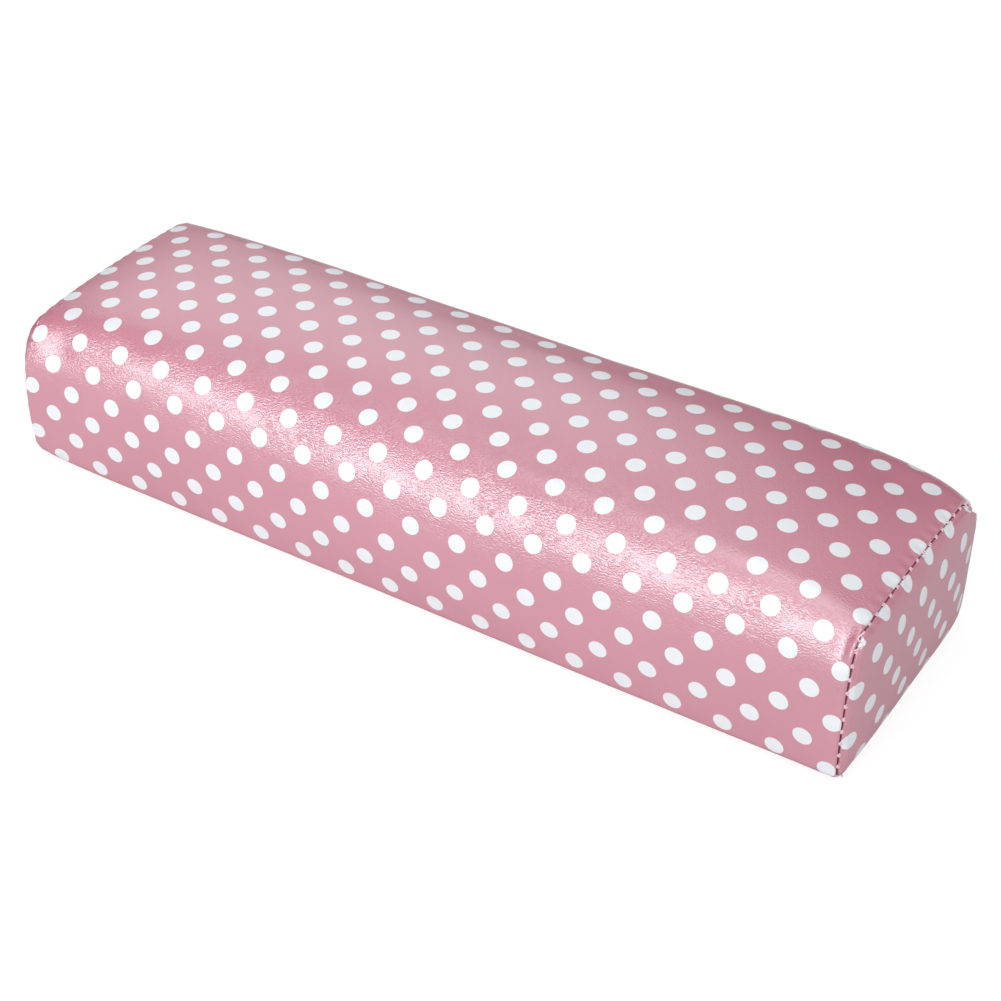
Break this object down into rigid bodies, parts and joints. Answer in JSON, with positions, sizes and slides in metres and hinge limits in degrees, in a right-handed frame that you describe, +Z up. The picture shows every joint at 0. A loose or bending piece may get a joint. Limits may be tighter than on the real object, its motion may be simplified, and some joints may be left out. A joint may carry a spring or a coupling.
{
  "type": "manicure hand rest",
  "caption": "Padded hand rest for manicures: a long sponge block in a sewn cover of glossy rose polka dot leatherette, with a crowned top and a seam round each end.",
  "frame": {"origin": "middle of the underside, on the surface that the rest stands on", "axes": "+X along the length, to the right-hand end; -Y is the front; +Z up"},
  "size_m": [0.3, 0.0946, 0.0622],
  "materials": {
    "cover": "metallic rose coated fabric with a fine leather grain and white polka dots, satin gloss",
    "sponge": "pale open-cell sponge, matt",
    "thread": "rose polyester sewing thread"
  },
  "bodies": {
    "root": {"sleeve": "cover", "end_panel_left": "cover", "end_panel_right": "cover", "foam_core": "sponge", "end_seam_thread_left": "thread", "end_seam_thread_right": "thread", "base_seam_thread": "thread"}
  },
  "joints": []
}
